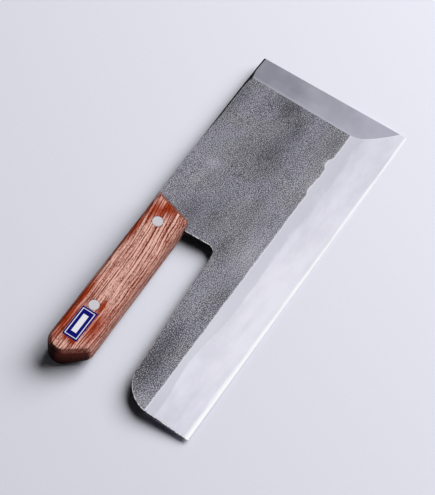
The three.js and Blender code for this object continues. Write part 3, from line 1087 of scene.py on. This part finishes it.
def misty_bevel(tree, flat, colours):
    """Tone of the bevel, shared by its two metals: long mist with lighter and greyer clouds, a grey band
    below the ridge and a painted highlight along the ridge. Gives the tone and the mist."""
    mist = long_noise(tree, flat, (20, 8, 8), 4.0, 0.6)
    sway = ramp(tree, mist, NOISE_SPAN, (-1.0, 1.0), clamp=False)
    depth = figure(tree, "ADD", marked(tree, "below_band"), sway)
    band = ramp(tree, depth, (1.0, -1.0), (0.0, 0.75), smooth=True)
    misty = ramp(tree, mist, (0.36, 0.64), (0.42, 0.0))
    deepest = figure(tree, "MAXIMUM", band, misty)
    cloud = marked(tree, "clouds")
    grey = figure(tree, "SUBTRACT", deepest, cloud, clamp=True)
    tone = blend(tree, grey, colours.bevel, colours.bevel_band)
    # Painted highlight along the ridge, lightening the tone toward the edge's colour together with the light
    # clouds
    ridge = ramp(tree, marked(tree, "below_ridge"), (0.2, 1.0), (0.2, 0.0))
    light = figure(tree, "MAXIMUM", ridge, cloud)
    return blend(tree, light, tone, colours.edge), mist


def ground_bevel(colours):
    """Soft iron ground on a wet stone: the misty bevel, with fine scratches up to its ridge."""
    made, tree, shader, flat = start_material("stone-ground iron")
    tone, mist = misty_bevel(tree, flat, colours)
    lines = long_noise(tree, flat, (0.5, 14, 1), 2.0, turn=0.2)
    relief = bumps(tree, lines, 0.12, 0.02 * MM)
    rough = ramp(tree, mist, NOISE_SPAN, (0.44, 0.34))
    plug(tree, shader, {"Base Color": tone, "Metallic": 1.0, "Roughness": rough, "Normal": relief})
    return made


def polished_edge(colours):
    """Hard steel honed along the edge: almost white there, fading into the misty bevel."""
    made, tree, shader, flat = start_material("honed edge steel")
    tone, mist = misty_bevel(tree, flat, colours)
    x, y, _ = split(tree, flat)
    ragged = long_noise(tree, flat, (18, 4, 4), 3.0)
    sway = ramp(tree, ragged, NOISE_SPAN, (-0.5, 0.5), clamp=False)
    narrow = ramp(tree, x, EDGE_RUN, EDGE_NARROWS)
    height = figure(tree, "MULTIPLY_ADD", y, narrow, sway)
    fade = ramp(tree, height, EDGE_FADE, (0.0, 1.0))
    lit = blend(tree, fade, colours.edge, tone)
    rough = ramp(tree, mist, NOISE_SPAN, (0.42, 0.32))
    plug(tree, shader, {"Base Color": lit, "Metallic": 1.0, "Roughness": rough})
    return made


def satin_facet(colours):
    """Tip facet finished on a belt: satin grey, darker toward the spine, a painted highlight where it
    starts.
    """
    made, tree, shader, flat = start_material("belt-ground iron")
    x, y, _ = split(tree, flat)
    sway = ramp(tree, noise(tree, flat, 16, 2.0), NOISE_SPAN, FACET_SWAY, clamp=False)
    height = figure(tree, "ADD", y, sway)
    up = ramp(tree, height, FACET_HEIGHTS, (0.0, 1.0), clamp=False)
    tone = blend(tree, up, colours.facet, colours.facet_spine)
    # Painted highlight along the line where the facet starts
    start = ramp(tree, x, FACET_GLINT, (0.3, 0.0), smooth=True)
    lit = blend(tree, start, tone, colours.bevel_band)
    lines = long_noise(tree, flat, (0.4, 16, 1), 2.0)
    relief = bumps(tree, lines, 0.1, 0.02 * MM)
    rough = ramp(tree, lines, NOISE_SPAN, (0.42, 0.36))
    plug(tree, shader, {"Base Color": lit, "Metallic": 1.0, "Roughness": rough, "Normal": relief})
    return made


def forge_scale(colours):
    """Black scale from the forge, left on the spine and the back."""
    made, tree, shader, flat = start_material("black forge scale")
    flakes = noise(tree, flat, 1.6, 3.0)
    tone = ramp(tree, flakes, (0.45, 0.75), (0.0, 0.2))
    mixed = blend(tree, tone, colours.scale_black, colours.iron_dark)
    relief = bumps(tree, flakes, 0.3, 0.06 * MM)
    plug(tree, shader, {
        "Base Color": mixed, "Roughness": 0.7, "Normal": relief, "Specular IOR Level": 0.1
    })
    return made


def bright_arris(colours):
    """Edge broken on a grinding wheel: bright, with pits of the skin left in it."""
    made, tree, shader, flat = start_material("ground arris")
    pits = noise(tree, flat, 1.2, 2.0)
    worn = ramp(tree, pits, (0.38, 0.58), (0.9, 0.1))
    tone = blend(tree, worn, colours.edge, colours.iron_dark)
    plug(tree, shader, {"Base Color": tone, "Metallic": 1.0, "Roughness": 0.4})
    return made


# Ruddy patches of the oak's face: middle and half size in flat millimetres, along and across
RUDDY_PATCHES = (
    (107, 93, 11, 8), (112, 88.5, 8, 7), (20, 96.5, 22, 4.5), (38, 97, 20, 3.2), (24, 80.5, 18, 5.5),
    (37, 83.5, 6, 3), (10.5, 88, 4, 7), (90, 98, 18, 2.4),
)

# How far from every patch, in half sizes, the wood is taken to be where a scale has none
UNREDDENED = 1.2

# Marks of the oak: length and width in millimetres, each a noise stretched along the grain. Real pores
# are 0.3 mm wide, and are drawn a little wider because finer ones would not show at this distance
GRAIN_MARKS = {
    "fibres": (1.3, 0.42), "pores": (9, 0.42), "streaks": (45, 0.8), "bands": (70, 6), "breaks": (40, 2.2)
}

# How much light (least) or dark (most) each kind of mark adds to the wood's face
GRAIN_DEPTHS = (("streaks", -0.28, 0.58), ("pores", -0.65, 0.75), ("fibres", -0.75, 0.75))

# Growth lines, seen across the face and wider apart down the sides: their spacing in millimetres, how far
# the bands sway them, and their curve toward the front end, which grows with the square of the distance
RING_SPACING = 2.0
RING_WAY = (0.0, 2 * math.pi / RING_SPACING, 0.45 * 2 * math.pi / RING_SPACING)
RING_DRIFT = 14.0
RING_CURVE_START = 47.6
RING_CURVE = -0.00126

# How far streaks of the grain tear the borders of the ruddy patches
RUDDY_TATTER = 0.8

# The butt's end grain: heights in millimetres, and turn to the spine, between which painted shade darkens it
BUTT_SHADE_HEIGHTS = (9.5, -4.0)
BUTT_SHADE_TURN = (-0.45, 0.05)

# How far the back scale's grain is moved from its twin's
BACK_GRAIN = (310, 40, 25)


def red_oak(colours, name, shift, patches):
    """Open-pored red oak, sanded and oiled: salmon between long brown pores, with ruddy patches, dark end
    grain, and painted shade on the belly, the spine side and the butt."""
    made, tree, shader, flat = start_material(name)
    moved = add(tree, "VectorMath", {0: flat, 1: shift}, operation="ADD")
    x, _, z = split(tree, flat)
    bend = figure(tree, "SUBTRACT", x, RING_CURVE_START)
    past = figure(tree, "MAXIMUM", bend, 0.0)
    squared = figure(tree, "MULTIPLY", past, past)
    rise = figure(tree, "MULTIPLY", squared, RING_CURVE)
    swerve = noise(tree, moved, 24, 1.0)
    sway = ramp(tree, swerve, NOISE_SPAN, (-0.5, 0.5), clamp=False)
    across = figure(tree, "ADD", rise, sway)
    lift = add(tree, "CombineXYZ", {"Y": across})
    along = add(tree, "VectorMath", {0: moved, 1: lift}, operation="ADD")
    level = {}
    for kind, (length, width) in GRAIN_MARKS.items():
        level[kind] = long_noise(tree, along, (length, width, width), 2.0)

    # Growth lines: an even wave across the grain, its spacing swayed by the bands, broken along its length
    depth = add(tree, "VectorMath", {0: along, 1: RING_WAY}, 1, operation="DOT_PRODUCT")
    drift = figure(tree, "MULTIPLY_ADD", level["bands"], RING_DRIFT, depth)
    wave = figure(tree, "SINE", drift)
    crest = ramp(tree, wave, (0.5, 0.95), (0.0, 1.0))
    broken = ramp(tree, level["breaks"], (0.42, 0.56), (0.15, 1.25))
    dark = figure(tree, "MULTIPLY", crest, broken)
    for kind, least, most in GRAIN_DEPTHS:
        added = ramp(tree, level[kind], NOISE_SPAN, (least, most), clamp=False)
        dark = figure(tree, "ADD", dark, added)
    dark = add(tree, "Clamp", {"Value": dark})
    streak = ramp(tree, level["streaks"], (0.35, 0.65), (0.0, 1.0))
    reach = UNREDDENED
    for middle_x, middle_y, half_x, half_y in patches:
        scaled = add(tree, "Mapping", {
            "Vector": flat,
            "Scale": (1 / half_x, 1 / half_y, 0),
            "Location": (-middle_x / half_x, -middle_y / half_y, 0),
        })
        gap = add(tree, "VectorMath", {0: scaled}, 1, operation="LENGTH")
        reach = figure(tree, "MINIMUM", reach, gap)
    ragged = figure(tree, "MULTIPLY_ADD", streak, -RUDDY_TATTER, reach)
    ruddy = ramp(tree, ragged, (0.95, -0.25), (0.0, 1.0), smooth=True)
    face = blend(tree, ruddy, colours.wood, colours.wood_red)
    tone = blend(tree, dark, face, colours.wood_dark)

    # Painted shade darkens the belly and spine sides a little; end grain makes the front end darker and the
    # butt darkest. Each side has its axis, the turns between which it sets in, its cover and its colour
    facing = split(tree, tree.nodes.new("ShaderNodeNewGeometry").outputs["Normal"])
    # Painted shade: the butt's end grain is darkened toward the bottom and where it turns to the spine side
    down = ramp(tree, z, BUTT_SHADE_HEIGHTS, (0.0, 1.0))
    spine_turn_shade = ramp(tree, facing[1], BUTT_SHADE_TURN, (0.0, 1.0))
    butt_shade = figure(tree, "MAXIMUM", down, spine_turn_shade)
    butt = blend(tree, butt_shade, colours.wood_butt, colours.wood_butt_shaded)
    # Painted shade on the belly and spine sides; darker end grain at the front end; end grain with painted
    # shade at the butt
    sides = (
        (1, -0.2, -0.6, 0.37, colours.wood_dark), (1, 0.25, 0.6, 0.5, colours.wood_dark),
        (0, 0.2, 0.5, 0.85, colours.wood_front), (0, -0.25, -0.75, 1.0, butt),
    )
    for axis, least, most, cover, stain_and_shade in sides:
        share = ramp(tree, facing[axis], (least, most), (0.0, cover), smooth=True)
        tone = blend(tree, share, tone, stain_and_shade)
    relief = bumps(tree, dark, 0.35, 0.12 * MM, invert=True)
    rough = ramp(tree, dark, (0.0, 1.0), (0.5, 0.75))
    plug(tree, shader, {
        "Base Color": tone, "Roughness": rough, "Normal": relief, "Specular IOR Level": 0.03
    })
    return made


def satin_aluminium(colours):
    """Aluminium rivets dressed flush with fine paper: pale, with faint straight scratches."""
    made, tree, shader, flat = start_material("satin aluminium")
    lines = long_noise(tree, flat, (3, 0.25, 1), 2.0, turn=0.7)
    shade = ramp(tree, lines, NOISE_SPAN, (0.0, 0.35))
    tone = blend(tree, shade, colours.rivet, colours.bevel)
    relief = bumps(tree, lines, 0.15, 0.02 * MM)
    plug(tree, shader, {"Base Color": tone, "Metallic": 1.0, "Roughness": 0.4, "Normal": relief})
    return made


# Nested fields of the label, each with its ink flipped: half sizes as shares of its length and width
PRINT_FIELDS = ((0.45, 0.41), (0.43, 0.36), (0.3, 0.17))


def printed_film(colours):
    """Printed polyester film: navy ink with blank white fields, slightly glossy."""
    made, tree, shader, flat = start_material("printed film")
    length, width, _ = (LABEL_HIGH - LABEL_LOW) / MM
    centre = (LABEL_LOW + LABEL_HIGH) / 2 / MM
    offset = add(tree, "VectorMath", {0: flat, 1: centre}, operation="SUBTRACT")
    x, y, _ = split(tree, add(tree, "VectorMath", {0: offset}, operation="ABSOLUTE"))
    field = 0.0
    for half_x, half_y in PRINT_FIELDS:
        in_x = figure(tree, "LESS_THAN", x, half_x * length)
        in_y = figure(tree, "LESS_THAN", y, half_y * width)
        inside = figure(tree, "MULTIPLY", in_x, in_y)
        field = figure(tree, "SUBTRACT", inside, field)
    ink = figure(tree, "ABSOLUTE", field)
    wear = noise(tree, flat, 2.5, 3.0)
    tone = blend(tree, ink, colours.film, colours.print)
    rough = ramp(tree, wear, NOISE_SPAN, (0.42, 0.55))
    plug(tree, shader, {"Base Color": tone, "Roughness": rough, "Specular IOR Level": 0.1})
    return made


def pale_floor(colours):
    """Matt backdrop paper, faintly mottled by its fibres."""
    made, tree, shader, flat = start_material("backdrop paper")
    fibres = noise(tree, flat, 6, 2.0)
    rough = ramp(tree, fibres, NOISE_SPAN, (0.8, 0.9))
    plug(tree, shader, {"Base Color": colours.floor, "Roughness": rough, "Specular IOR Level": 0.2})
    return made


# Stage

FLOOR_SIZE = 6.0

# The tent's bright side, and how far from it the tent dims and its fill fades
TENT_SIDE = (0.34, -0.07, 0.94)
TENT_FADE = (-0.35, 0.45)
FILL_FADE = (0.2, 0.9)


def direction(azimuth, elevation):
    """A unit vector at a turn from +X and a height above the table."""
    level = math.cos(elevation)
    return Vector((math.cos(azimuth) * level, math.sin(azimuth) * level, math.sin(elevation)))


def build_stage(stage, colours):
    """Floor, softbox, light from all round, and the camera."""
    half = FLOOR_SIZE / 2
    mesh = bpy.data.meshes.new("floor")
    corners = [(-half, -half, 0), (half, -half, 0), (half, half, 0), (-half, half, 0)]
    mesh.from_pydata(corners, [], [(0, 1, 2, 3)])
    mesh.materials.append(pale_floor(colours))
    floor = bpy.data.objects.new("floor", mesh)
    bpy.context.scene.collection.objects.link(floor)

    lamp = bpy.data.lights.new("softbox", "AREA")
    lamp.size = stage.key_size
    lamp.energy = stage.key_power
    box = bpy.data.objects.new("softbox", lamp)
    toward = direction(stage.key_azimuth, stage.key_elevation)
    box.location = toward * stage.key_distance
    box.rotation_euler = toward.to_track_quat("Z", "Y").to_euler()
    box.visible_glossy = False
    bpy.context.scene.collection.objects.link(box)

    # A light tent: bright on the softbox's side of the sky, dim on the other
    world = bpy.data.worlds.new("light tent")
    world.use_nodes = True
    tree = world.node_tree
    way = tree.nodes.new("ShaderNodeTexCoord").outputs["Generated"]
    facing = add(tree, "VectorMath", {0: way, 1: TENT_SIDE}, 1, operation="DOT_PRODUCT")
    tent = ramp(tree, facing, TENT_FADE, (stage.dim, stage.tent), smooth=True)
    fill = ramp(tree, facing, FILL_FADE, (0.0, stage.fill), smooth=True)
    paths = tree.nodes.new("ShaderNodeLightPath").outputs
    seen = figure(tree, "MAXIMUM", paths["Is Camera Ray"], paths["Is Glossy Ray"])
    shown = figure(tree, "MAXIMUM", seen, paths["Is Transmission Ray"])
    strength = add(tree, "Mix", {0: shown, 2: fill, 3: tent})
    plug(tree, tree.nodes["Background"], {"Color": (1.0, 1.0, 1.0, 1.0), "Strength": strength})
    bpy.context.scene.world = world

    camera = bpy.data.cameras.new("camera")
    camera.lens = stage.lens
    viewer = bpy.data.objects.new("camera", camera)
    # The camera's turn is counted from behind, on the -Y side
    back = direction(stage.azimuth - math.pi / 2, stage.elevation)
    viewer.location = Vector(stage.look_at) + back * stage.distance
    viewer.rotation_euler = back.to_track_quat("Z", "Y").to_euler()
    bpy.context.scene.collection.objects.link(viewer)
    bpy.context.scene.camera = viewer
    bpy.context.scene.view_settings.view_transform = "Standard"


# Operators, panel and registration

class SOBA_OT_blade_iron(bpy.types.Operator):
    """Build the soft iron body of the blade"""

    bl_idname = "soba.blade_iron"
    bl_label = "Blade Iron"

    def execute(self, context):
        build_blade_iron(context.scene.soba_blade, context.scene.soba_colours)
        return {"FINISHED"}


class SOBA_OT_edge_steel(bpy.types.Operator):
    """Build the hard steel along the cutting edge"""

    bl_idname = "soba.edge_steel"
    bl_label = "Edge Steel"

    def execute(self, context):
        build_edge_steel(context.scene.soba_blade, context.scene.soba_colours)
        return {"FINISHED"}


class SOBA_OT_scales(bpy.types.Operator):
    """Build the two wooden scales of the handle"""

    bl_idname = "soba.scales"
    bl_label = "Handle Scales"

    def execute(self, context):
        sizes = context.scene.soba_handle
        colours = context.scene.soba_colours
        thickness = context.scene.soba_blade.thickness
        upper = red_oak(colours, "red oak", (0, 0, 0), RUDDY_PATCHES)
        lower = red_oak(colours, "red oak, back scale", BACK_GRAIN, ())
        build_scale("upper_scale", "bevel_side_scale", sizes, thickness, RIVET_BOXES, upper, False)
        build_scale("lower_scale", "back_side_scale", sizes, thickness, TUBE_BOXES, lower, True)
        return {"FINISHED"}


class SOBA_OT_rivets(bpy.types.Operator):
    """Build the solid and tubular halves of both rivets"""

    bl_idname = "soba.rivets"
    bl_label = "Rivets"

    def execute(self, context):
        build_rivets(context.scene.soba_handle, context.scene.soba_colours)
        return {"FINISHED"}


class SOBA_OT_label(bpy.types.Operator):
    """Build the plain label film"""

    bl_idname = "soba.label"
    bl_label = "Label"

    def execute(self, context):
        build_label(context.scene.soba_handle, context.scene.soba_colours)
        return {"FINISHED"}


class SOBA_OT_stage(bpy.types.Operator):
    """Build the floor, the light and the camera"""

    bl_idname = "soba.stage"
    bl_label = "Stage"

    def execute(self, context):
        build_stage(context.scene.soba_stage, context.scene.soba_colours)
        return {"FINISHED"}


OPERATORS = (
    SOBA_OT_stage, SOBA_OT_blade_iron, SOBA_OT_edge_steel, SOBA_OT_scales, SOBA_OT_rivets, SOBA_OT_label
)
GROUPS = {
    "soba_blade": BladeSizes,
    "soba_handle": HandleSizes,
    "soba_colours": FinishColours,
    "soba_stage": StageSettings,
}


class SOBA_PT_sidebar(bpy.types.Panel):
    """Sizes, colours and build buttons of the soba knife"""

    bl_idname = "SOBA_PT_sidebar"
    bl_label = "Soba Knife"
    bl_space_type = "VIEW_3D"
    bl_region_type = "UI"
    bl_category = "Soba Knife"

    def draw(self, context):
        for name, group in GROUPS.items():
            box = self.layout.box()
            box.label(text=group.__doc__)
            for key in group.__annotations__:
                box.prop(getattr(context.scene, name), key)
        for operator in OPERATORS:
            self.layout.operator(operator.bl_idname)


def register():
    for made in (*GROUPS.values(), *OPERATORS, SOBA_PT_sidebar):
        bpy.utils.register_class(made)
    for name, group in GROUPS.items():
        setattr(bpy.types.Scene, name, PointerProperty(type=group))


def unregister():
    for name in GROUPS:
        delattr(bpy.types.Scene, name)
    for made in reversed((*GROUPS.values(), *OPERATORS, SOBA_PT_sidebar)):
        bpy.utils.unregister_class(made)


def main():
    register()
    bpy.ops.soba.stage()
    bpy.ops.soba.blade_iron()
    bpy.ops.soba.edge_steel()
    bpy.ops.soba.scales()
    bpy.ops.soba.rivets()
    bpy.ops.soba.label()


if __name__ == "__main__":
    main()
